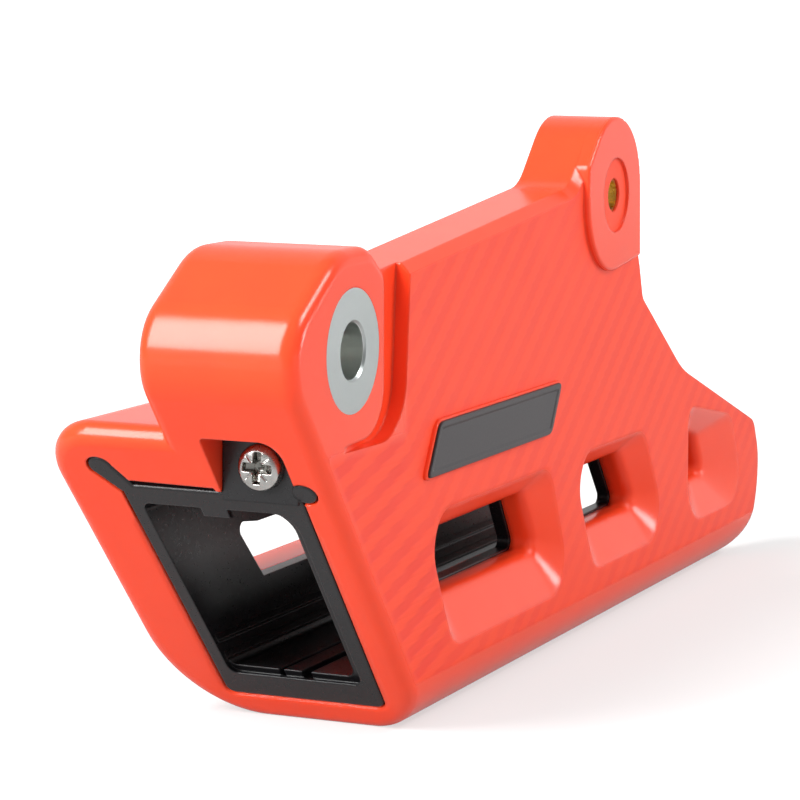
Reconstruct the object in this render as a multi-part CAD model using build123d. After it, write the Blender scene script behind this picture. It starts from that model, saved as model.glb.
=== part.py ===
from build123d import *
from math import cos, radians, sin, tan
import os

# Motorcycle chain guide, millimetres.
# Origin: centre of the front bush on its near mounting face.
# X runs rearward along the chain, Y away from the swingarm face, Z up.

# Front bush and the boss round it
sleeve_radius = 9.0
sleeve_bore = 8.2
sleeve_bore_break = 0.35
boss_width = 24.6
boss_front = -19.6
boss_rear = 16.0
boss_top = 14.4
boss_edge_radius = 2.3
boss_front_z = 4.8
boss_front_radius = 9.0
boss_crown_x = -4.4
boss_foot_radius = 8.5
press_gap = 0.02

# Mounting plate that carries the boss and the rear lug
plate_thickness = 10.6
rail_start_x = 12.0
rail_start_z = 10.0
rail_slope = 0.1
rail_bevel = 1.6

# Rear lug with its pad and threaded insert
lug_x = 107.2
lug_z = 15.6
lug_radius = 12.5
lug_top_z = 29.0
lug_rear_x = 119.5
lug_foot_z = 4.2
pad_proud = 1.1
pad_radius = 13.0
pad_edge_radius = 0.6
pad_recess_radius = 6.4
pad_recess_depth = 0.5
insert_radius = 4.3
insert_bore = 5.0
insert_lip = 0.5
insert_lip_bore = 5.7
insert_near_y = -pad_proud + pad_recess_depth + insert_lip
insert_length = plate_thickness - insert_near_y

# Tunnel that the chain runs through
far_wall_lean = 3.8
roof_z = -11.0
front_lean = 39.5
front_x_at_axis = -22.8
nose_x = 198.2
rear_heel = (123.3, 2.0)
rear_foot = (125.3, -3.9)
rear_bend = (148.5, -19.3)
rear_slope = -0.335
rear_bend_radius = 30.0
nose_corner_radius = 17.0
nose_waist_z = -41.5
nose_waist_radius = 10.0
nose_waist_reach = 2.5
nose_top_setback = 3.4
nose_top_radius = 5.0
far_nose_x = 184.0
near_bottom_radius = 9.0
far_bottom_radius = 16.0
far_top_radius = 7.5
front_edge_radius = boss_edge_radius

# Clearance arc for the rear sprocket
sprocket_x = 203.5
sprocket_z = 88.0
sprocket_clear_radius = 137.0

# Groove in the mounting plate round the boss
groove_depth = 2.4
groove_inner_x = 10.4
groove_outer_x = 20.4
groove_inner_z = -12.8
groove_outer_z = -14.7

# Wear liner: mouth frame, body and passage
passage_width = 24.4
passage_height = 30.0
opening_near_y = 7.8
opening_far_y = opening_near_y + passage_width
opening_top_z = -23.6
opening_bottom_z = opening_top_z - passage_height
opening_corner_radius = 1.2
opening_near_top_radius = 3.5
frame_border = 2.4
frame_near_y = opening_near_y - frame_border
frame_far_y = opening_far_y + frame_border
frame_top_z = opening_top_z + 2.8
frame_bottom_z = opening_bottom_z - 4.0
frame_depth = 3.2
frame_corner_radius = 1.6
liner_wall = 2.2
liner_near_y = opening_near_y - 0.9
liner_far_y = opening_far_y + liner_wall
liner_top_z = frame_top_z - 0.6
liner_bottom_z = frame_bottom_z + 0.6
liner_end_x = 171.0
liner_below_edge = 1.2
liner_gap = 0.12
mouth_depth = 1.0
floor_rise = 1.2
floor_groove_depth = 1.6
floor_groove_spans = [(16.6, 18.2), (21.2, 22.0)]
side_groove_depth = 0.6
side_groove_rises = [(5.4, 4.0), (2.2, 0.8)]

# Walls of the housing outside the liner
far_wall = 10.2
floor_wall = 4.5
far_face_top = liner_far_y + far_wall
bottom_z = liner_bottom_z - floor_wall

# Ears, tab and screw that hold the liner in the mouth
ear_radius = 1.9
ear_gap = 0.25
near_ear_y = frame_near_y - 0.7
near_ear_rise = 0.9
far_ear_y = frame_far_y + 1.9
far_ear_rise = 3.7
frame_edge_radius = 0.4
roof_gap_near_y = 18.6
roof_gap_far_y = frame_far_y - 0.4
roof_gap = 0.9
sag_tab_near_y = 18.4
sag_tab_far_y = 22.6
sag_tab_drop = 1.4
pocket_near_y = 5.8
pocket_far_y = 18.0
pocket_top_z = -11.9
pocket_corner_radius = 3.0
tab_face_x = -5.6
tab_thickness = 2.6
screw_y = 11.5
screw_z = -16.5
screw_head_radius = 3.4
screw_head_height = 2.2
screw_shank_radius = 1.9
screw_length = 15.0

# Side windows: corners of the straight opening and of the flared mouth
window_corner_radius = 1.5
window_rim_radius = 2.0
flare_depth = 3.0
liner_window_lip = 0.3
window_openings = [
    [(32.0, -31.6), (73.6, -31.6), (80.6, -42.2), (39.0, -42.2)],
    [(96.5, -31.4), (121.0, -31.4), (130.2, -42.2), (104.5, -42.2)],
    [(158.0, -32.6), (165.0, -34.2), (170.0, -42.2), (162.0, -42.2)],
]
window_mouths = [
    [(26.5, -27.9, 6), (80.0, -27.9, 6), (90.4, -50.2, 6), (38.0, -50.2, 6)],
    [(90.0, -27.7, 6), (127.5, -27.9, 6), (141.8, -49.2, 6), (102.0, -49.2, 6)],
    [(152.7, -26.6, 3), (179.5, -31.6, 6), (188.9, -49.5, 6), (153.4, -49.5, 9)],
]
far_first_opening = [(24.9, -30.6), (33.9, -31.8), (73.6, -31.8), (80.2, -41.3), (34.9, -41.3)]
far_first_mouth = [(19.5, -27.6, 4), (28.5, -27.9, 6), (83.0, -27.9, 6), (89.5, -48.6, 6), (35.6, -48.6, 6)]

front_tan = tan(radians(front_lean))
front_cos = cos(radians(front_lean))
front_sin = sin(radians(front_lean))
far_tan = tan(radians(far_wall_lean))


def front_x(z):
    """X of the slanted front face at height z."""
    return front_x_at_axis - z * front_tan


def mouth_t(z):
    """Distance down the slanted front face for height z."""
    return -z / front_cos


def lean_y(y, z, z_ref):
    """Y of a surface on the leaning far side, y being its value at z_ref."""
    return y - (z_ref - z) * far_tan


def side_plane(y):
    """Plane of constant Y whose sketch axes are X and Z."""
    return Plane(origin=(0, y, 0), x_dir=(1, 0, 0), z_dir=(0, -1, 0))


def cross_plane(x):
    """Plane of constant X whose sketch axes are Y and Z."""
    return Plane(origin=(x, 0, 0), x_dir=(0, 1, 0), z_dir=(1, 0, 0))


mouth_plane = Plane(
    origin=(front_x_at_axis, 0, 0),
    x_dir=(0, 1, 0),
    z_dir=(-front_cos, 0, -front_sin),
)


def slab(face, y0, y1):
    """Solid between two Y values from a sketch drawn in X and Z."""
    return extrude(side_plane(y1) * face, amount=y1 - y0)


def rounded_polygon(points):
    """Closed outline whose corners are rounded: points are (x, y, radius)."""
    edges = []
    count = len(points)
    starts = []
    for i in range(count):
        p = Vector(points[i][0], points[i][1])
        before = Vector(points[i - 1][0], points[i - 1][1])
        after = Vector(points[(i + 1) % count][0], points[(i + 1) % count][1])
        radius = points[i][2]
        back = (before - p).normalized()
        ahead = (after - p).normalized()
        if radius <= 0:
            starts.append((p, p, p))
            continue
        angle = radians(back.get_angle(ahead))
        reach = radius / tan(angle / 2)
        middle_dir = (back + ahead).normalized()
        centre = p + middle_dir * (radius / sin(angle / 2))
        starts.append((p + back * reach, centre - middle_dir * radius, p + ahead * reach))
    for i in range(count):
        first, middle, last = starts[i]
        if (last - first).length > 1e-6:
            edges.append(ThreePointArc(first, middle, last))
        following = starts[(i + 1) % count][0]
        if (following - last).length > 1e-6:
            edges.append(Line(last, following))
    return make_face(Wire(edges))


def rail_z(x):
    """Height of the rail's top at x."""
    return rail_start_z + (x - rail_start_x) * rail_slope


def rear_edge_x(z):
    """X of the steep part of the rear edge at height z."""
    run = rear_bend[0] - rear_foot[0]
    return rear_foot[0] + (rear_foot[1] - z) * run / (rear_foot[1] - rear_bend[1])


def rear_edge_z(x):
    """Height of the long shallow part of the rear edge at x."""
    return rear_bend[1] + (x - rear_bend[0]) * rear_slope


def on_front_face(edge):
    """True for an edge that lies in the slanted front face."""
    for t in (0.1, 0.5, 0.9):
        if abs(mouth_plane.to_local_coords(edge @ t).Z) > 0.01:
            return False
    return True


def nose_corner():
    """Radius of the nose's lower corner, limited by the nose's height."""
    return min(nose_corner_radius, nose_waist_z - bottom_z - nose_waist_reach)


def tunnel_block():
    """Outer block of the chain tunnel before anything is cut from it."""
    nose_top_x = nose_x - nose_top_setback
    side = rounded_polygon([
        (front_x(roof_z), roof_z, 0),
        (front_x(bottom_z), bottom_z, 0),
        (nose_x, bottom_z, nose_corner()),
        (nose_x, nose_waist_z, nose_waist_radius),
        (nose_top_x, rear_edge_z(nose_top_x), nose_top_radius),
        (rear_bend[0], rear_bend[1], rear_bend_radius),
        (rear_edge_x(roof_z), roof_z, 0),
    ])
    section = rounded_polygon([
        (0, roof_z, 0),
        (lean_y(far_face_top, roof_z, opening_top_z), roof_z, far_top_radius),
        (lean_y(far_face_top, bottom_z, opening_top_z), bottom_z, far_bottom_radius),
        (0, bottom_z, near_bottom_radius),
    ])
    length = nose_x + 40
    block = slab(side, 0, far_face_top + 2) & extrude(cross_plane(-25) * section, amount=length)
    return fillet(block.edges().filter_by(on_front_face), front_edge_radius)


def lug_flank():
    """X of the lug's sloping front flank at its foot and at its top."""
    top_x = lug_rear_x - lug_radius * (1 + tan(radians(22.5))) - 0.05
    return top_x - (lug_top_z - rail_z(lug_x - 18)), top_x


def plate_block():
    """Mounting plate: rail, rear lug and the near wall down to the nose."""
    foot_x, top_x = lug_flank()
    outline = rounded_polygon([
        (-4, roof_z - 8, 0),
        (-4, rail_z(-4), 0),
        (foot_x, rail_z(foot_x), 9.0),
        (top_x, lug_top_z, lug_radius),
        (lug_rear_x, lug_top_z, lug_radius),
        (lug_rear_x + 0.6, 9.0, 0),
        (rear_heel[0], rear_heel[1], 3.0),
        (rear_foot[0], rear_foot[1], 3.0),
        (rear_bend[0], rear_bend[1], rear_bend_radius),
        (186.0, rear_edge_z(186.0), 0),
        (176.0, -38.0, 0),
    ])
    plate = slab(outline, 0, plate_thickness)
    return chamfer(plate.edges().filter_by(is_rail_edge), rail_bevel)


def is_rail_edge(edge):
    """True for the near edges along the rail's top and up the lug's flank."""
    c = edge.center()
    if abs(c.Y) > 0.01 or abs((edge @ 0).Y) > 0.01 or abs((edge @ 1).Y) > 0.01:
        return False
    return -3 < c.X < lug_flank()[1] - 1 and c.Z > rail_z(c.X) - 1


def boss_block():
    """Rounded boss round the front bush, over the whole bush width."""
    low = roof_z - 5.0
    outline = rounded_polygon([
        (front_x(low), low, 0),
        (boss_front, (front_x_at_axis - boss_front) / front_tan, boss_foot_radius),
        (boss_front, boss_front_z, boss_front_radius),
        (boss_crown_x, boss_top, 12.0),
        (6.8, boss_top, 5.0),
        (13.4, 9.6, 6.0),
        (boss_rear, -2.0, 10.0),
        (boss_rear, low, 0),
    ])
    boss = slab(outline, 0, boss_width)
    near = boss.edges().filter_by(Plane.XZ).filter_by_position(Axis.Z, low + 0.5, 40)
    return fillet(near, boss_edge_radius)


def lug_pad():
    """Raised flat on the near side of the lug."""
    foot_x, top_x = lug_flank()
    left = lug_x - pad_radius - 0.4
    outline = rounded_polygon([
        (left, lug_top_z - (top_x - left), 1.5),
        (left, 0.9, pad_radius),
        (lug_rear_x + 1.2, lug_foot_z, 0.6),
        (lug_rear_x, lug_top_z, lug_radius),
        (top_x, lug_top_z, lug_radius),
    ])
    pad = slab(outline, -pad_proud, 2.0)
    return fillet(pad.faces().sort_by(Axis.Y)[0].edges(), pad_edge_radius)


def groove_cut():
    """Recess between the bush pad and the patterned face, fading out below."""
    top = rail_z(groove_outer_x) + 8
    outline = rounded_polygon([
        (groove_inner_x, top, 0),
        (groove_inner_x + 0.4, groove_inner_z, 7.0),
        (-3.0, groove_inner_z - 0.6, 0),
        (-3.0, groove_outer_z + 0.4, 0),
        (groove_outer_x - 1.8, groove_outer_z, 9.0),
        (groove_outer_x + 0.6, top, 0),
    ])
    band = slab(outline, -1, groove_depth + 1)
    wedge = Polyline(
        (-3.0, 0.0),
        (9.0, groove_depth),
        (groove_outer_x + 5, groove_depth),
        (groove_outer_x + 5, -2.0),
        (-3.0, -2.0),
        close=True,
    )
    floor = extrude(Plane.XY.offset(-20) * make_face(wedge), amount=40)
    return band & floor


def window_outline(corners, radius, shrink=0.0):
    """Window outline with every corner rounded, drawn in by shrink all round."""
    outline = rounded_polygon([(x, z, radius) for x, z in corners])
    if shrink > 0:
        outline = offset(outline, -shrink)
    return outline


def window_corners(index, side):
    """Corners of a window's straight opening and of its flared mouth."""
    if side > 0 and index == 0:
        return far_first_opening, far_first_mouth
    return window_openings[index], window_mouths[index]


def window_cut(index, side):
    """Flared window through one wall: side is -1 for the near wall, 1 for the far."""
    opening_corners, mouth_corners = window_corners(index, side)
    y_out = 0.0
    if side > 0:
        y_out = lean_y(far_face_top, opening_corners[-1][1], opening_top_z)
    opening = window_outline(opening_corners, window_corner_radius)
    mouth = rounded_polygon(mouth_corners)
    y_in = y_out - side * flare_depth
    y_past = y_out + side * 2.0
    if side < 0:
        straight = slab(opening, y_in, 20.0)
    else:
        straight = slab(opening, 20.0, y_in)
    flare = loft([side_plane(y_in) * opening, side_plane(y_out) * mouth], ruled=True)
    cutter = straight + flare
    if side < 0:
        rim = cutter.edges().filter_by_position(Axis.Y, y_in - 0.01, y_in + 0.01)
        cutter = fillet(rim, window_rim_radius)
    return cutter + slab(mouth, min(y_out, y_past), max(y_out, y_past))


def liner_window(index, side):
    """Opening in the liner behind a side window, a little smaller than it."""
    corners = window_corners(index, side)[0]
    outline = window_outline(corners, window_corner_radius, liner_window_lip)
    if side < 0:
        return slab(outline, -5, 20)
    return slab(outline, 20, 60)


def liner_section(inset_near, inset_far, top, bottom, near_y, far_y):
    """Cross-section of the liner or its cavity, leaning on the far side."""
    far = far_y + inset_far
    return rounded_polygon([
        (near_y - inset_near, top, 1.0),
        (lean_y(far, top, opening_top_z), top, 1.0),
        (lean_y(far, bottom, opening_top_z), bottom, 2.0),
        (near_y - inset_near, bottom, 2.0),
    ])


def tunnel_cavity():
    """Space the liner's body slides into, open at both ends."""
    gap = liner_gap
    section = liner_section(
        gap, gap, liner_top_z + gap, liner_bottom_z - gap, liner_near_y, liner_far_y
    )
    return extrude(cross_plane(-40) * section, amount=260)


def front_half_space(depth):
    """Everything behind a plane parallel to the front face, depth inside it."""
    box = Box(400, 800, 400)
    return mouth_plane * Pos(0, 0, -200 - depth) * box


def front_half_space_outside(depth):
    """Everything in front of a plane parallel to the front face, depth inside it."""
    box = Box(400, 800, 400)
    return mouth_plane * Pos(0, 0, 200 - depth) * box


def frame_outline(grow):
    """Outline of the mouth frame with its two ears, drawn on the front face."""
    top = mouth_t(frame_top_z) - grow
    bottom = mouth_t(frame_bottom_z) + grow
    near = frame_near_y - grow
    far_at_top = lean_y(frame_far_y, frame_top_z, frame_top_z) + grow
    far_at_bottom = lean_y(frame_far_y, frame_bottom_z, frame_top_z) + grow
    corner = frame_corner_radius + grow
    body = rounded_polygon([
        (near, top, corner),
        (near, bottom, corner),
        (far_at_bottom, bottom, corner),
        (far_at_top, top, 0.5),
    ])
    ear = ear_radius + grow
    top_t = mouth_t(frame_top_z)
    near_ear = Pos(near_ear_y, top_t - near_ear_rise) * Circle(ear)
    far_ear_t = top_t - far_ear_rise
    far_ear = Pos(far_ear_y, far_ear_t) * Circle(ear)
    neck = Polyline(
        (far_ear_y + 0.7 * ear, far_ear_t + 0.7 * ear),
        (far_ear_y - 0.7 * ear, far_ear_t - 0.7 * ear),
        (frame_far_y - 2.2 - grow, top_t - grow),
        (frame_far_y + grow, top_t + 1.6),
        close=True,
    )
    return body + near_ear + far_ear + make_face(neck)


def frame_solid(grow, depth):
    """Mouth frame block from the front face inwards."""
    face = mouth_plane.offset(-depth) * frame_outline(grow)
    return extrude(face, amount=depth + grow * 20)


def roof_gap_cut():
    """Bowed gap the housing leaves above the frame's top member."""
    top_t = mouth_t(frame_top_z)
    outline = rounded_polygon([
        (roof_gap_near_y, top_t + 0.5, 0),
        (roof_gap_near_y + 0.4, top_t - roof_gap, 0.3),
        (roof_gap_far_y - 1.5, top_t - roof_gap - 0.3, 1.0),
        (roof_gap_far_y, top_t + 0.5, 0),
    ])
    return extrude(mouth_plane.offset(-frame_depth) * outline, amount=frame_depth + 5)


def pocket_cut():
    """Pocket above the mouth for the liner's tab and the screw head."""
    outline = rounded_polygon([
        (pocket_near_y, frame_top_z - 2.0, 0),
        (pocket_near_y, pocket_top_z, pocket_corner_radius),
        (pocket_far_y, pocket_top_z, 0.8),
        (pocket_far_y, frame_top_z - 2.0, 0),
    ])
    back = tab_face_x + tab_thickness + liner_gap
    return extrude(cross_plane(-40) * outline, amount=40 + back)


def sprocket_slot(radius, y0, y1):
    """Cylinder that clears the sprocket and the chain running onto it."""
    disc = Pos(sprocket_x, sprocket_z) * Circle(radius)
    return slab(disc, y0, y1)


def far_nose_cut():
    """What is missing behind the far wall, which ends ahead of the nose."""
    reach = nose_x + 10
    kept = rounded_polygon([
        (0, 0, 0),
        (far_nose_x, 0, 0),
        (far_nose_x, bottom_z, nose_corner()),
        (0, bottom_z, 0),
    ])
    past = Pos(reach - far_nose_x / 2, bottom_z / 2) * Rectangle(far_nose_x, -2 * bottom_z)
    near_y = lean_y(liner_far_y, bottom_z, opening_top_z)
    return slab(past - kept, near_y, far_face_top + 5)


def liner_rear_cut():
    """Keeps the liner below the housing's sloping rear edge."""
    outline = Polyline(
        (rear_bend[0], rear_bend[1] - liner_below_edge),
        (nose_x, rear_edge_z(nose_x) - liner_below_edge),
        (nose_x, 0),
        (rear_bend[0], 0),
        close=True,
    )
    return slab(make_face(outline), -5, far_face_top + 5)


def housing():
    body = tunnel_block() + plate_block() + boss_block() + lug_pad()
    body = body - far_nose_cut()
    body = body - groove_cut()
    body = body - tunnel_cavity()
    slot_far = liner_far_y + liner_gap
    body = body - sprocket_slot(sprocket_clear_radius, plate_thickness, slot_far)
    body = body - frame_solid(ear_gap, frame_depth + ear_gap)
    body = body - roof_gap_cut()
    body = body - pocket_cut()
    for index in range(3):
        body = body - window_cut(index, -1)
        body = body - window_cut(index, 1)
    bush_hole = Circle(sleeve_radius + press_gap)
    body = body - slab(bush_hole, -2, boss_width + 2)
    lug_at = Pos(lug_x, lug_z)
    body = body - slab(lug_at * Circle(pad_recess_radius), -pad_proud - 1, -pad_proud + pad_recess_depth)
    body = body - slab(lug_at * Circle(insert_lip_bore / 2), -3, plate_thickness + 2)
    body = body - slab(lug_at * Circle(insert_radius + press_gap), insert_near_y - press_gap, 20)
    screw_hole = Pos(screw_y, screw_z) * Circle(screw_shank_radius + press_gap)
    reach = screw_length + 1.0
    body = body - extrude(cross_plane(tab_face_x) * screw_hole, amount=reach)
    return body


def liner_mouth():
    """Funnel through the frame, with the small tab that hangs from its top."""
    mouth = rounded_polygon([
        (opening_near_y, opening_top_z, opening_near_top_radius),
        (opening_far_y, opening_top_z, opening_corner_radius),
        (lean_y(opening_far_y, opening_bottom_z, opening_top_z), opening_bottom_z, 1.5),
        (opening_near_y, opening_bottom_z, 1.5),
    ])
    hanging = Pos(
        (sag_tab_near_y + sag_tab_far_y) / 2, opening_top_z
    ) * Rectangle(sag_tab_far_y - sag_tab_near_y, 2 * sag_tab_drop)
    return mouth - hanging


def liner_passage():
    """Chain passage with the grooves along its floor and far wall."""
    inside_near = liner_near_y + liner_wall
    inside_far = liner_far_y - liner_wall
    floor_z = opening_bottom_z + floor_rise
    inside = rounded_polygon([
        (inside_near, opening_top_z, opening_near_top_radius),
        (inside_far, opening_top_z, opening_corner_radius),
        (lean_y(inside_far, floor_z, opening_top_z), floor_z, 1.5),
        (inside_near, floor_z, 1.5),
    ])
    passage = extrude(cross_plane(-40) * inside, amount=300)
    for near, far in floor_groove_spans:
        strip = Pos((near + far) / 2, floor_z) * Rectangle(far - near, 2 * floor_groove_depth)
        passage = passage + extrude(cross_plane(-40) * strip, amount=300)
    for top_rise, bottom_rise in side_groove_rises:
        middle_z = floor_z + (top_rise + bottom_rise) / 2
        wall_y = lean_y(inside_far, middle_z, opening_top_z)
        strip = Pos(wall_y, middle_z) * Rectangle(2 * side_groove_depth, top_rise - bottom_rise)
        passage = passage + extrude(cross_plane(-40) * strip, amount=300)
    return passage - front_half_space_outside(mouth_depth)


def wear_liner():
    gap = liner_gap
    section = liner_section(0, 0, liner_top_z, liner_bottom_z, liner_near_y, liner_far_y)
    tube = extrude(cross_plane(-40) * section, amount=40 + liner_end_x)
    body = tube & front_half_space(0.4)
    frame = frame_solid(0, frame_depth)
    front_edges = frame.edges().filter_by(on_front_face)
    body = body + fillet(front_edges, frame_edge_radius)
    tab_outline = rounded_polygon([
        (pocket_near_y + gap, frame_top_z - 1.0, 0),
        (pocket_near_y + gap, pocket_top_z - gap, pocket_corner_radius),
        (pocket_far_y - gap, pocket_top_z - gap, 0.8),
        (pocket_far_y - gap, frame_top_z - 1.0, 0),
    ])
    body = body + extrude(cross_plane(tab_face_x) * tab_outline, amount=tab_thickness)
    body = body - liner_passage()
    mouth_reach = extrude(cross_plane(-40) * liner_mouth(), amount=300)
    body = body - (mouth_reach & front_half_space_outside(mouth_depth))
    inside_near = liner_near_y + liner_wall
    inside_far = liner_far_y - liner_wall
    body = body - sprocket_slot(sprocket_clear_radius + liner_gap, inside_near, inside_far)
    body = body - liner_rear_cut()
    for index in range(3):
        body = body - liner_window(index, -1)
        body = body - liner_window(index, 1)
    screw_hole = Pos(screw_y, screw_z) * Circle(screw_shank_radius + 0.15)
    body = body - extrude(cross_plane(tab_face_x - 1) * screw_hole, amount=tab_thickness + 2)
    return body


def front_sleeve():
    tube = slab(Circle(sleeve_radius) - Circle(sleeve_bore / 2), 0, boss_width)
    edges = tube.edges().filter_by(GeomType.CIRCLE)
    bore_edges = edges.filter_by(lambda e: abs(e.radius - sleeve_bore / 2) < 0.01)
    return chamfer(bore_edges, sleeve_bore_break)


def rear_insert():
    ring = Circle(insert_radius) - Circle(insert_bore / 2)
    return slab(Pos(lug_x, lug_z) * ring, insert_near_y, plate_thickness)


def liner_screw():
    axis_plane = cross_plane(tab_face_x)
    head = extrude(axis_plane * Pos(screw_y, screw_z) * Circle(screw_head_radius), amount=-screw_head_height)
    rim = head.edges().group_by(Axis.X)[0]
    head = fillet(rim, screw_head_height * 0.6)
    shank = extrude(axis_plane * Pos(screw_y, screw_z) * Circle(screw_shank_radius), amount=screw_length)
    return head + shank


os.makedirs("parts", exist_ok=True)
export_step(housing(), "parts/housing.step")
export_step(wear_liner(), "parts/wear_liner.step")
export_step(front_sleeve(), "parts/front_sleeve.step")
export_step(rear_insert(), "parts/rear_insert.step")
export_step(liner_screw(), "parts/liner_screw.step")
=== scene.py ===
import math

import bmesh
import bpy
from mathutils import Matrix, Vector


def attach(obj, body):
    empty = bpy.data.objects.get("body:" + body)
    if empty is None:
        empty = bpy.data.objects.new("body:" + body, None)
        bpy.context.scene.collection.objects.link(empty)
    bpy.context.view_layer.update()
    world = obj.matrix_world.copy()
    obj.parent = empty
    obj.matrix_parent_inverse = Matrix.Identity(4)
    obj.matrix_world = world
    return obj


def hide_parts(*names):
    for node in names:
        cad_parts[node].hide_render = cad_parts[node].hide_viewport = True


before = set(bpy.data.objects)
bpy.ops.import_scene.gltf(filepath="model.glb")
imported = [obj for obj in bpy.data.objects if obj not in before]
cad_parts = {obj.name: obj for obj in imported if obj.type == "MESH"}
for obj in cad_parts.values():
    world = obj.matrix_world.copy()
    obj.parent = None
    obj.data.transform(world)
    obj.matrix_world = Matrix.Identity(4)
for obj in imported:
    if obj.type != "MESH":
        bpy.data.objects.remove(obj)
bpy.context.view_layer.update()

# Motorcycle chain guide: finishes, small details, light and camera.
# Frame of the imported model: X rearward, Y away from the near mounting face,
# Z up, origin at the front sleeve's near end. Shapes and patterns are written
# in millimetres, the floor and the lamps in metres.

MM = 0.001
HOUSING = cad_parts["housing"]
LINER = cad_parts["wear_liner"]
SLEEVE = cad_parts["front_sleeve"]
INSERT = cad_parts["rear_insert"]

# Places taken from the model. The slanted mouth's plane crosses Z 0 at
# FRONT_X_AT_AXIS and runs FRONT_SLOPE rearward for each millimetre down.
FLOOR_Z = -61.5
FRONT_X_AT_AXIS = -22.8
FRONT_SLOPE = 0.8243
SLEEVE_AXIS = (0.0, 0.0)
SLEEVE_BORE_RADIUS = 4.1
LUG_X, LUG_Z = 107.2, 15.6
INSERT_BORE_RADIUS = 2.5
SCREW_X, SCREW_Y, SCREW_Z = -5.6, 11.5, -16.5  # under the middle of the head

# Moulded twill on the near face: its cells are drawn out to twice their
# length up to LONG_CELLS_REACH behind the mouth.
WEAVE_CELL_LONG = 1.88
WEAVE_ROW_HIGH = 1.4
LONG_CELLS_REACH = 28.0

# Strength of the white surround where it lights and where it is mirrored.
# The camera sees it at 1.
SURROUND_LIT = 0.52
SURROUND_MIRRORED = 0.33


def linear(hex_colour):
    """Linear RGBA from an sRGB hex value such as "#F0402A"."""
    channels = [int(hex_colour[i:i + 2], 16) / 255 for i in (1, 3, 5)]
    return [c / 12.92 if c <= 0.04045 else ((c + 0.055) / 1.055) ** 2.4 for c in channels] + [1.0]


def add(tree, kind, inputs=None, **settings):
    """Adds one shader node. inputs gives each socket a number or colour, an
    output to link, or a node whose first live output is linked."""
    node = tree.nodes.new("ShaderNode" + kind)
    for name, value in settings.items():
        setattr(node, name, value)
    for name, value in (inputs or {}).items():
        if isinstance(value, bpy.types.Node):
            value = [output for output in value.outputs if output.enabled][0]
        if isinstance(value, bpy.types.NodeSocket):
            tree.links.new(value, node.inputs[name])
        else:
            node.inputs[name].default_value = value
    return node


def new_material(name):
    """Empty node material, its tree and the surface point in millimetres."""
    material = bpy.data.materials.new(name)
    material.use_nodes = True
    tree = material.node_tree
    tree.nodes.clear()
    coordinates = add(tree, "TexCoord")
    point = add(tree, "VectorMath", {0: coordinates.outputs["Object"], "Scale": 1 / MM},
                operation="SCALE")
    return material, tree, point


def twill_height(tree, axes, from_mouth):
    """The moulded 2/2 twill: a rib two cells wide in every four that climbs
    one cell rearward per row. Gives the rib, 0 to 1, and its height with each
    row's crown."""
    ahead = add(tree, "Math", {0: from_mouth, 1: LONG_CELLS_REACH}, operation="SUBTRACT")
    only_ahead = add(tree, "Math", {0: ahead, 1: 0.0}, operation="MINIMUM")
    drawn_out = add(tree, "Math", {0: only_ahead, 1: -0.5, 2: axes.outputs["X"]},
                    operation="MULTIPLY_ADD")
    along = add(tree, "Math", {0: drawn_out, 1: WEAVE_CELL_LONG}, operation="DIVIDE")
    up = add(tree, "Math", {0: axes.outputs["Z"], 1: WEAVE_ROW_HIGH}, operation="DIVIDE")
    row = add(tree, "Math", {0: up}, operation="FLOOR")
    row_part = add(tree, "Math", {0: up}, operation="FRACT")
    step = add(tree, "MapRange", {"Value": row_part, "From Min": 0.15, "From Max": 1.0},
               interpolation_type="SMOOTHSTEP")
    climbed = add(tree, "Math", {0: row, 1: step}, operation="ADD")
    shifted = add(tree, "Math", {0: along, 1: climbed}, operation="SUBTRACT")
    across_rib = add(tree, "Math", {0: shifted, 1: 2.0}, operation="PINGPONG")
    rib = add(tree, "MapRange", {"Value": across_rib, "From Min": 0.6, "From Max": 1.4},
              interpolation_type="SMOOTHSTEP")
    across_row = add(tree, "Math", {0: up, 1: 0.5}, operation="PINGPONG")
    crown = add(tree, "MapRange", {"Value": across_row, "From Max": 0.25, "To Min": 0.75},
                interpolation_type="SMOOTHSTEP")
    return rib, add(tree, "Math", {0: rib, 1: crown}, operation="MULTIPLY")


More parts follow.
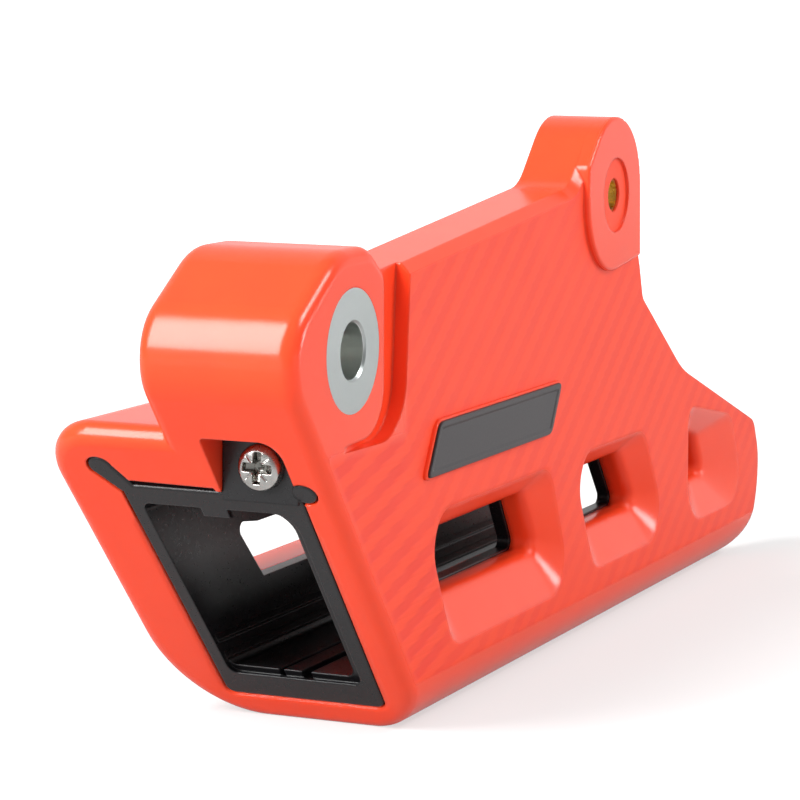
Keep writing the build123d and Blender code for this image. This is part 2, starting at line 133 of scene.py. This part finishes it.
def moulded_nylon():
    """Injection-moulded glass-filled nylon in orange-red: a deep clean colour
    under a glossy skin, with a satin twill texture etched into the mould's
    near face and a faint ripple where the wall sank as it cooled."""
    material, tree, point = new_material("moulded_orange_red_nylon")
    axes = add(tree, "SeparateXYZ", {0: point})
    normal = add(tree, "SeparateXYZ", {0: add(tree, "NewGeometry").outputs["Normal"]})
    # The twill lies only on the flat near face, behind the slanted mouth's
    # rounded edge and clear of the sleeve's pad and the groove round it.
    faces_near = add(tree, "Math", {0: normal.outputs["Y"], 1: -0.985}, operation="LESS_THAN")
    in_plane = add(tree, "Math", {0: axes.outputs["Y"], 1: 0.0, 2: 0.05}, operation="COMPARE")
    down_slope = add(tree, "Math", {0: axes.outputs["Z"], 1: FRONT_SLOPE, 2: axes.outputs["X"]},
                     operation="MULTIPLY_ADD")
    from_mouth = add(tree, "Math", {0: down_slope, 1: FRONT_X_AT_AXIS}, operation="SUBTRACT")
    behind_mouth = add(tree, "MapRange", {"Value": from_mouth, "From Min": 2.0, "From Max": 4.0})
    behind_pad = add(tree, "MapRange", {"Value": axes.outputs["X"],
                                        "From Min": 18.0, "From Max": 20.0})
    below_pad = add(tree, "MapRange", {"Value": axes.outputs["Z"],
                                       "From Min": -13.5, "From Max": -15.5})
    off_pad = add(tree, "Math", {0: behind_pad, 1: below_pad}, operation="MAXIMUM")
    flat = add(tree, "Math", {0: faces_near, 1: in_plane}, operation="MULTIPLY")
    inside_edge = add(tree, "Math", {0: behind_mouth, 1: off_pad}, operation="MULTIPLY")
    textured = add(tree, "Math", {0: flat, 1: inside_edge}, operation="MULTIPLY")
    # The etching is uneven: patches about 20 mm across keep as little as 45 %
    # of its depth, and it is deepest by the mouth.
    uneven = add(tree, "TexNoise", {"Vector": point, "Scale": 0.05, "Detail": 2.0})
    patches = add(tree, "MapRange", {"Value": uneven, "From Min": 0.35, "From Max": 0.6,
                                     "To Min": 0.45})
    rearward = add(tree, "MapRange", {"Value": from_mouth, "From Min": 16.0, "From Max": 40.0,
                                      "To Min": 1.0, "To Max": 0.5},
                   interpolation_type="SMOOTHSTEP")
    depth = add(tree, "Math", {0: patches, 1: rearward}, operation="MULTIPLY")
    etched = add(tree, "Math", {0: textured, 1: depth}, operation="MULTIPLY")
    rib, height = twill_height(tree, axes, from_mouth)
    relief = add(tree, "Math", {0: height, 1: etched}, operation="MULTIPLY")
    # Sink ripples about 8 mm long, and the mould's own grain at 0.3 mm, drawn
    # coarser than it is so that it shows.
    sink = add(tree, "TexNoise", {"Vector": point, "Scale": 0.12, "Detail": 1.0})
    grain = add(tree, "TexNoise", {"Vector": point, "Scale": 3.0, "Detail": 3.0})
    # Mould edges are never sharp: rounded by 0.5 mm, and by 1.8 mm low down,
    # where the windows flare.
    edge_radius = add(tree, "MapRange", {"Value": axes.outputs["Z"],
                                         "From Min": -26.0, "From Max": -27.5,
                                         "To Min": 0.5 * MM, "To Max": 1.8 * MM})
    soft_edges = add(tree, "Bevel", {"Radius": edge_radius}, samples=6)
    rippled = add(tree, "Bump", {"Height": sink, "Strength": 0.25, "Distance": 0.25 * MM,
                                 "Normal": soft_edges})
    grained = add(tree, "Bump", {"Height": grain, "Strength": 0.12, "Distance": 0.02 * MM,
                                 "Normal": rippled})
    woven = add(tree, "Bump", {"Height": relief, "Strength": 0.4, "Distance": 0.12 * MM,
                               "Normal": grained})
    # Painted shade: the colour darkens between the twill's ribs where it is etched, mixed with a
    # random mottle from the sink ripples.
    between_ribs = add(tree, "Math", {0: 1.0, 1: rib}, operation="SUBTRACT")
    painted_rib_shade = add(tree, "Math", {0: between_ribs, 1: etched}, operation="MULTIPLY")
    mottle_and_rib_shade = add(tree, "Math", {0: sink, 1: 0.35, 2: painted_rib_shade}, operation="MULTIPLY_ADD",
                 use_clamp=True)
    colour = add(tree, "Mix", {"Factor": mottle_and_rib_shade, "A": linear("#F34825"), "B": linear("#E63924")},
                 data_type="RGBA")
    # The spot-faced recess in the lug's pad is as matt as the twill.
    spot_face = add(tree, "Math", {0: axes.outputs["Y"], 1: -0.6, 2: 0.08}, operation="COMPARE")
    matt = add(tree, "Math", {0: textured, 1: spot_face}, operation="MAXIMUM")
    satin = add(tree, "MapRange", {"Value": matt, "To Min": 0.17, "To Max": 0.46})
    roughness = add(tree, "Math", {0: grain, 1: 0.06, 2: satin}, operation="MULTIPLY_ADD")
    surface = add(tree, "BsdfPrincipled", {
        "Base Color": colour, "Roughness": roughness, "Normal": woven,
        "IOR": 1.5, "Specular IOR Level": 0.36, "Subsurface Weight": 0.08,
        "Subsurface Radius": (1.0, 0.2, 0.08), "Subsurface Scale": 1.2 * MM})
    add(tree, "OutputMaterial", {"Surface": surface})
    return material


def wear_polyethylene():
    """Moulded high-density polyethylene, carbon black: a waxy near-gloss skin,
    a little greyer where the mould was spark-eroded, its edges rounded by
    0.4 mm."""
    material, tree, point = new_material("black_wear_polyethylene")
    grain = add(tree, "TexNoise", {"Vector": point, "Scale": 2.2, "Detail": 4.0})
    broad = add(tree, "TexNoise", {"Vector": point, "Scale": 0.15, "Detail": 2.0})
    colour = add(tree, "Mix", {"Factor": broad, "A": linear("#0D0C0E"), "B": linear("#171618")},
                 data_type="RGBA")
    roughness = add(tree, "MapRange", {"Value": grain, "From Min": 0.2, "From Max": 0.8,
                                       "To Min": 0.24, "To Max": 0.38})
    soft_edges = add(tree, "Bevel", {"Radius": 0.4 * MM}, samples=6)
    bump = add(tree, "Bump", {"Height": grain, "Strength": 0.12, "Distance": 0.02 * MM,
                              "Normal": soft_edges})
    surface = add(tree, "BsdfPrincipled", {"Base Color": colour, "Roughness": roughness,
                                           "Normal": bump, "IOR": 1.51})
    add(tree, "OutputMaterial", {"Surface": surface})
    return material


def turned_metal(name, face_hex, bore_hex, bore_radius, roughness, axis, feed):
    """Metal faced on a lathe: rings round its axis, one feed apart, that spread
    a highlight across them, and a brighter reamed bore. The feed is drawn
    wider than the 0.1 mm it is."""
    material, tree, point = new_material(name)
    from_axis = add(tree, "VectorMath", {0: point, 1: (axis[0], 0.0, axis[1])},
                    operation="SUBTRACT")
    outward = add(tree, "VectorMath", {0: from_axis, 1: (1.0, 0.0, 1.0)}, operation="MULTIPLY")
    radius = add(tree, "VectorMath", {0: outward}, operation="LENGTH").outputs["Value"]
    turns = add(tree, "Math", {0: radius, 1: 2 * math.pi / feed}, operation="MULTIPLY")
    rings = add(tree, "Math", {0: turns}, operation="SINE")
    outside_bore = add(tree, "Math", {0: radius, 1: bore_radius + 0.05},
                       operation="GREATER_THAN")
    colour = add(tree, "Mix", {"Factor": outside_bore, "A": linear(bore_hex),
                               "B": linear(face_hex)}, data_type="RGBA")
    smear = add(tree, "TexNoise", {"Vector": point, "Scale": 1.2, "Detail": 3.0})
    cloudy = add(tree, "Math", {0: smear, 1: 0.12, 2: roughness}, operation="MULTIPLY_ADD")
    bump = add(tree, "Bump", {"Height": rings, "Strength": 0.15, "Distance": 0.01 * MM})
    surface = add(tree, "BsdfPrincipled", {"Base Color": colour, "Metallic": 1.0,
                                           "Roughness": cloudy, "Normal": bump})
    add(tree, "OutputMaterial", {"Surface": surface})
    return material


def zinc_plate():
    """Bright zinc plate over a forged steel screw: white metal, slightly cloudy, with painted
    shade that turns it dull grey down in the recess."""
    recess_radius, recess_shade_starts, recess_shade_full = 2.45, 1.8, 1.3
    material, tree, point = new_material("zinc_plated_steel")
    cloud = add(tree, "TexNoise", {"Vector": point, "Scale": 0.9, "Detail": 4.0})
    plated = add(tree, "Mix", {"Factor": cloud, "A": linear("#D2D1CD"), "B": linear("#A9A8A5")},
                 data_type="RGBA")
    axes = add(tree, "SeparateXYZ", {0: point})
    # Painted shade: the colour darkens to dull grey deep in the cross recess, within 2.45 mm of
    # the screw's axis.
    sunk = add(tree, "MapRange", {"Value": axes.outputs["X"],
                                  "From Min": SCREW_X - recess_shade_starts,
                                  "From Max": SCREW_X - recess_shade_full})
    from_axis = add(tree, "VectorMath", {0: point, 1: (0.0, SCREW_Y, SCREW_Z)},
                    operation="SUBTRACT")
    across = add(tree, "VectorMath", {0: from_axis, 1: (0.0, 1.0, 1.0)}, operation="MULTIPLY")
    radius = add(tree, "VectorMath", {0: across}, operation="LENGTH").outputs["Value"]
    in_reach = add(tree, "Math", {0: radius, 1: recess_radius}, operation="LESS_THAN")
    recess_painted_shade = add(tree, "Math", {0: sunk, 1: in_reach}, operation="MULTIPLY")
    colour = add(tree, "Mix", {"Factor": recess_painted_shade, "A": plated, "B": linear("#83827D")},
                 data_type="RGBA")
    roughness = add(tree, "MapRange", {"Value": cloud, "From Min": 0.3, "From Max": 0.7,
                                       "To Min": 0.18, "To Max": 0.34})
    bump = add(tree, "Bump", {"Height": cloud, "Strength": 0.2, "Distance": 0.03 * MM})
    surface = add(tree, "BsdfPrincipled", {"Base Color": colour, "Metallic": 1.0,
                                           "Roughness": roughness, "Normal": bump})
    add(tree, "OutputMaterial", {"Surface": surface})
    return material


def soft_black_cap():
    """Overmoulded polyurethane cap on the slanted plate: satin black with a faint red tint,
    faintly grained."""
    material, tree, point = new_material("satin_black_polyurethane")
    grain = add(tree, "TexNoise", {"Vector": point, "Scale": 2.5, "Detail": 3.0})
    colour = add(tree, "Mix", {"Factor": grain, "A": linear("#1E191B"), "B": linear("#2B2427")},
                 data_type="RGBA")
    roughness = add(tree, "MapRange", {"Value": grain, "To Min": 0.3, "To Max": 0.45})
    bump = add(tree, "Bump", {"Height": grain, "Strength": 0.2, "Distance": 0.02 * MM})
    surface = add(tree, "BsdfPrincipled", {"Base Color": colour, "Roughness": roughness,
                                           "Normal": bump, "IOR": 1.5})
    add(tree, "OutputMaterial", {"Surface": surface})
    return material


def finish_node(node, material):
    """Gives every material slot of a CAD node the same finish."""
    for slot in node.material_slots:
        slot.material = material
    if not node.material_slots:
        node.data.materials.append(material)


def smoothstep(a, b, value):
    """0 up to a, 1 from b on, with a smooth climb between."""
    t = min(max((value - a) / (b - a), 0.0), 1.0)
    return t * t * (3 - 2 * t)


def joined_rings(rings):
    """Points and faces that join equal rings in order, both ends closed."""
    count = len(rings[0])
    last = (len(rings) - 1) * count
    verts = [p for ring in rings for p in ring]
    faces = []
    for start in range(0, last, count):
        for j in range(count):
            k = (j + 1) % count
            faces.append((start + j, start + k, start + count + k, start + count + j))
    faces.append(tuple(range(count)))
    faces.append(tuple(range(last, last + count)))
    return verts, faces


def ringed_piece(name, rings, material, smooth):
    """Object through rings of points in millimetres, riding with the part."""
    verts, faces = joined_rings(rings)
    mesh = bpy.data.meshes.new(name)
    mesh.from_pydata([tuple(c * MM for c in v) for v in verts], [], faces)
    mesh.materials.append(material)
    bm = bmesh.new()
    bm.from_mesh(mesh)
    bmesh.ops.recalc_face_normals(bm, faces=bm.faces)
    bm.to_mesh(mesh)
    bm.free()
    for face in mesh.polygons:
        face.use_smooth = smooth
    piece = bpy.data.objects.new(name, mesh)
    bpy.context.scene.collection.objects.link(piece)
    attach(piece, "root")
    return piece


def cross_recess_depth(y, z):
    """Depth of the cross recess at a point of the head, arms 1.1 mm wide and
    4.6 mm across, with shallow ticks between them and a round core."""
    radius = math.hypot(y, z)
    off_arm = min(abs(y), abs(z))
    arm = (1 - smoothstep(0.48, 0.66, off_arm)) * (1 - smoothstep(2.1, 2.4, radius))
    arm *= 2.0 - 0.5 * radius
    off_tick = min(abs(y - z), abs(y + z)) / math.sqrt(2)
    tick = (1 - smoothstep(0.08, 0.2, off_tick)) * (1 - smoothstep(2.2, 2.5, radius))
    tick *= smoothstep(1.0, 1.3, radius) * 0.2
    core = (1 - smoothstep(0.9, 1.15, radius)) * 1.7
    return max(arm, tick, core)


def round_screw(x, radius, angle):
    """Point round the screw's axis."""
    return x, SCREW_Y + radius * math.cos(angle), SCREW_Z + radius * math.sin(angle)


def liner_screw():
    """Self-tapping pan-head screw: domed head, cross recess and coarse thread.
    Its rings run from the head's middle over the rim to the shank's tip."""
    head_radius, head_height = 3.4, 2.2
    crown, rim_starts, rim_drop = 0.28, 1.9, 1.1
    neck_radius, thread_radius, core_radius = 1.95, 1.88, 1.4
    plain_radius = thread_radius - 0.12
    thread_pitch, crest_part = 1.35, 0.28
    shank_length, tip_length = 15.0, 2.5
    head_rings, shank_rings, around = 44, 132, 144
    recess_turn = math.radians(3)
    angles = [2 * math.pi * j / around for j in range(around)]
    rings = []
    for i in range(head_rings):
        radius = head_radius * (i + 0.35) / (head_rings - 0.65)
        rim = max(radius - rim_starts, 0.0) / (head_radius - rim_starts)
        dome = head_height - crown * (radius / head_radius) ** 2
        dome -= rim_drop * (1 - math.sqrt(max(1 - rim ** 2.4, 0.0)))
        ring = []
        for angle in angles:
            y = radius * math.cos(angle - recess_turn)
            z = radius * math.sin(angle - recess_turn)
            ring.append(round_screw(SCREW_X - dome + cross_recess_depth(y, z), radius, angle))
        rings.append(ring)
    for above, radius in [(0.12, head_radius), (0.01, head_radius - 0.1), (0.005, neck_radius)]:
        rings.append([round_screw(SCREW_X - above, radius, angle) for angle in angles])
    for i in range(shank_rings + 1):
        depth = shank_length * i / shank_rings
        taper = 1 - 0.6 * smoothstep(shank_length - tip_length, shank_length, depth)
        cut_in = smoothstep(0.4, 1.6, depth)
        ring = []
        for angle in angles:
            phase = (depth / thread_pitch - angle / (2 * math.pi)) % 1.0
            crest = max(1 - abs(phase - 0.5) / crest_part, 0.0)
            cut = core_radius + (thread_radius - core_radius) * crest
            radius = (plain_radius + (cut - plain_radius) * cut_in) * taper
            ring.append(round_screw(SCREW_X + depth, radius, angle))
        rings.append(ring)
    screw = ringed_piece("cross_recess_screw", rings, zinc_plate(), smooth=True)
    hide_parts("liner_screw")


def insert_thread(material):
    """Crests of the M6 thread inside the rear insert, pitch 1 mm, run out over
    a third of a turn at both ends."""
    wall_radius, crest_radius = INSERT_BORE_RADIUS + 0.02, 2.2
    pitch = 1.0
    start_y, end_y = 1.8, 10.3
    steps_per_turn = 48
    steps = int((end_y - start_y - pitch) / pitch * steps_per_turn)
    profile = [(wall_radius, -0.36), (crest_radius, -0.06),
               (crest_radius, 0.06), (wall_radius, 0.36)]
    rings = []
    for i in range(steps + 1):
        angle = 2 * math.pi * i / steps_per_turn
        run_out = max(smoothstep(0, steps_per_turn / 3, min(i, steps - i)), 0.02)
        y = start_y + pitch / 2 + pitch * i / steps_per_turn
        ring = []
        for radius, shift in profile:
            r = wall_radius - (wall_radius - radius) * run_out
            ring.append((LUG_X + r * math.cos(angle), y + shift, LUG_Z + r * math.sin(angle)))
        rings.append(ring)
    ringed_piece("insert_thread_crests", rings, material, smooth=False)


def plate_ring(inset, height):
    """Rounded outline of the slanted plate, drawn in by inset, off the face by
    height."""
    left, right, low, top, slant = 25.0, 78.0, -22.4, -13.6, 5.0
    corner_reach, least_reach, corner_steps = 1.8, 0.5, 8
    side = inset * math.hypot(slant, top - low) / (top - low)
    shift = slant * inset / (top - low)
    corners = [(left + side + shift, low + inset),
               (right - side + shift, low + inset),
               (right + slant - side - shift, top - inset),
               (left + slant + side - shift, top - inset)]
    reach = max(corner_reach - inset, least_reach)
    ring = []
    for i in range(4):
        here = Vector(corners[i])
        back = (Vector(corners[i - 1]) - here).normalized() * reach
        ahead = (Vector(corners[(i + 1) % 4]) - here).normalized() * reach
        for step in range(corner_steps + 1):
            t = step / corner_steps
            bend = (here + back) * (1 - t) ** 2 + here * 2 * t * (1 - t) + (here + ahead) * t ** 2
            ring.append((bend.x, -height, bend.y))
    return ring


def slanted_plate(housing_material):
    """Plain slanted plate on the near face: a red plinth moulded on the
    housing and a black cap with a raised rim."""
    plinth = [(0.0, -0.3), (0.0, 0.4), (0.06, 0.54), (0.2, 0.6)]
    cap = [(0.35, 0.5), (0.35, 0.8), (0.42, 0.94), (0.56, 1.0),
           (1.15, 1.0), (1.3, 0.95), (1.45, 0.84), (1.6, 0.8)]
    ringed_piece("plain_plate_plinth", [plate_ring(inset, height) for inset, height in plinth],
                 housing_material, smooth=False)
    ringed_piece("plain_plate_cap", [plate_ring(inset, height) for inset, height in cap],
                 soft_black_cap(), smooth=False)


def pale_paper():
    """White background paper: matt, shown as white to the camera and more
    dimly to reflections, while it keeps the part's shadow. It glows less near
    the part, where the lamps light it, than far from them."""
    material, tree, point = new_material("white_background_paper")
    reach = add(tree, "VectorMath", {0: point}, operation="LENGTH").outputs["Value"]
    shown = add(tree, "MapRange", {"Value": reach, "From Min": 250.0, "From Max": 900.0,
                                   "To Min": 0.56, "To Max": 1.0},
                interpolation_type="SMOOTHSTEP")
    mirrored = add(tree, "MapRange", {"Value": reach, "From Min": 500.0, "From Max": 1400.0,
                                      "To Min": 0.2, "To Max": 0.5},
                   interpolation_type="SMOOTHSTEP")
    path = add(tree, "LightPath")
    bounced = add(tree, "Math", {0: path.outputs["Is Glossy Ray"],
                                 1: path.outputs["Is Transmission Ray"]}, operation="MAXIMUM")
    in_mirror = add(tree, "Math", {0: bounced, 1: mirrored}, operation="MULTIPLY")
    strength = add(tree, "Math", {0: path.outputs["Is Camera Ray"], 1: shown, 2: in_mirror},
                   operation="MULTIPLY_ADD")
    glow = add(tree, "Emission", {"Color": (1, 1, 1, 1), "Strength": strength})
    paper = add(tree, "BsdfDiffuse", {"Color": linear("#A6A6A6"), "Roughness": 0.5})
    both = add(tree, "AddShader", {0: paper, 1: glow})
    add(tree, "OutputMaterial", {"Surface": both})
    return material


def paper_floor():
    """Floor under the part that sweeps up into a backdrop behind it."""
    front, bend_starts, bend_radius, top, half_width = -3.0, 1.2, 0.9, 3.0, 4.0
    bend_steps = 16
    profile = [(front, 0.0), (bend_starts, 0.0)]
    for i in range(1, bend_steps + 1):
        angle = math.radians(90 * i / bend_steps)
        profile.append((bend_starts + bend_radius * math.sin(angle),
                        bend_radius * (1 - math.cos(angle))))
    profile.append((bend_starts + bend_radius, top))
    away = Vector((0.909, 0.394, 0)).normalized()
    side = Vector((-away.y, away.x, 0))
    mesh = bpy.data.meshes.new("paper_sweep")
    bm = bmesh.new()
    rows = []
    for along, height in profile:
        row = []
        for across in (-half_width, half_width):
            p = away * along + side * across
            row.append(bm.verts.new((p.x, p.y, FLOOR_Z * MM + height)))
        rows.append(row)
    for a, b in zip(rows, rows[1:]):
        bm.faces.new((a[0], a[1], b[1], b[0]))
    bmesh.ops.recalc_face_normals(bm, faces=bm.faces)
    bm.to_mesh(mesh)
    bm.free()
    for face in mesh.polygons:
        face.use_smooth = True
    mesh.materials.append(pale_paper())
    floor = bpy.data.objects.new("paper_sweep", mesh)
    bpy.context.scene.collection.objects.link(floor)


def area_lamp(name, place, width, height, power, mirrored=True):
    """White softbox at a place in metres, aimed at the part's middle, and left
    out of reflections unless mirrored."""
    middle = Vector((0.06, 0.02, -0.02))
    lamp = bpy.data.lights.new(name, "AREA")
    lamp.shape = "RECTANGLE"
    lamp.size = width
    lamp.size_y = height
    lamp.energy = power
    holder = bpy.data.objects.new(name, lamp)
    holder.location = place
    holder.rotation_euler = (middle - Vector(place)).to_track_quat("-Z", "Y").to_euler()
    holder.visible_glossy = mirrored
    bpy.context.scene.collection.objects.link(holder)


def studio_light():
    """Even white surround, a tall softbox ahead and to the left, one high on
    the near side, a low one behind on the right and a small bright one beside
    it that puts the sparks in the windows' corners. The two fills cast no
    reflection."""
    world = bpy.data.worlds.new("white_surround")
    bpy.context.scene.world = world
    world.use_nodes = True
    tree = world.node_tree
    tree.nodes.clear()
    path = add(tree, "LightPath")
    bounced = add(tree, "Math", {0: path.outputs["Is Glossy Ray"],
                                 1: path.outputs["Is Transmission Ray"]}, operation="MAXIMUM")
    unseen = add(tree, "Math", {0: bounced, 1: SURROUND_MIRRORED - SURROUND_LIT,
                                2: SURROUND_LIT}, operation="MULTIPLY_ADD")
    strength = add(tree, "Math", {0: path.outputs["Is Camera Ray"], 1: 1.0 - SURROUND_LIT,
                                  2: unseen}, operation="MULTIPLY_ADD")
    background = add(tree, "Background", {"Color": (1, 1, 1, 1), "Strength": strength})
    add(tree, "OutputWorld", {"Surface": background})
    area_lamp("key_softbox", (-0.58, 0.4, 0.54), 0.36, 0.85, 15.5)
    area_lamp("overhead_softbox", (0.28, -0.62, 0.6), 0.3, 0.22, 3.4)
    area_lamp("low_right_softbox", (0.95, -0.42, 0.14), 0.5, 0.4, 0.15)
    area_lamp("low_right_strip", (0.714, -0.64, 0.0), 0.12, 0.09, 0.6)
    area_lamp("low_left_fill", (-0.6, 0.08, 0.0), 0.5, 0.1, 1.7, mirrored=False)
    area_lamp("low_right_fill", (0.1, -0.85, -0.01), 0.6, 0.09, 2.2, mirrored=False)


def camera():
    """Camera ahead of the part and to its near side, with the focal length in
    pixels and the axes found from the photograph."""
    sensor_width, image_width, focal_pixels = 36.0, 800.0, 3103.55
    right = Vector((0.39841245, -0.91718076, 0.00685427))
    down = Vector((-0.12081613, -0.05988603, -0.99086686))
    ahead = Vector((0.90921449, 0.39394558, -0.13466957))
    place = Vector((-0.3972674, -0.1793746, 0.0523195))
    data = bpy.data.cameras.new("front_left_camera")
    data.sensor_width = sensor_width
    data.lens = sensor_width * focal_pixels / image_width
    data.clip_start = 0.01
    data.clip_end = 50.0
    holder = bpy.data.objects.new("front_left_camera", data)
    turn = Matrix((right, -down, -ahead)).transposed().to_4x4()
    holder.matrix_world = Matrix.Translation(place) @ turn
    bpy.context.scene.collection.objects.link(holder)
    bpy.context.scene.camera = holder


nylon = moulded_nylon()
aluminium = turned_metal("turned_aluminium", "#B1B6B5", "#EEF2EE", SLEEVE_BORE_RADIUS, 0.26,
                         SLEEVE_AXIS, feed=0.3)
brass = turned_metal("turned_brass", "#EBCB80", "#F4DA96", INSERT_BORE_RADIUS, 0.22,
                     (LUG_X, LUG_Z), feed=0.25)
finish_node(HOUSING, nylon)
finish_node(LINER, wear_polyethylene())
finish_node(SLEEVE, aluminium)
finish_node(INSERT, brass)
liner_screw()
insert_thread(brass)
slanted_plate(nylon)
paper_floor()
studio_light()
camera()

bpy.context.scene.view_settings.view_transform = "Standard"
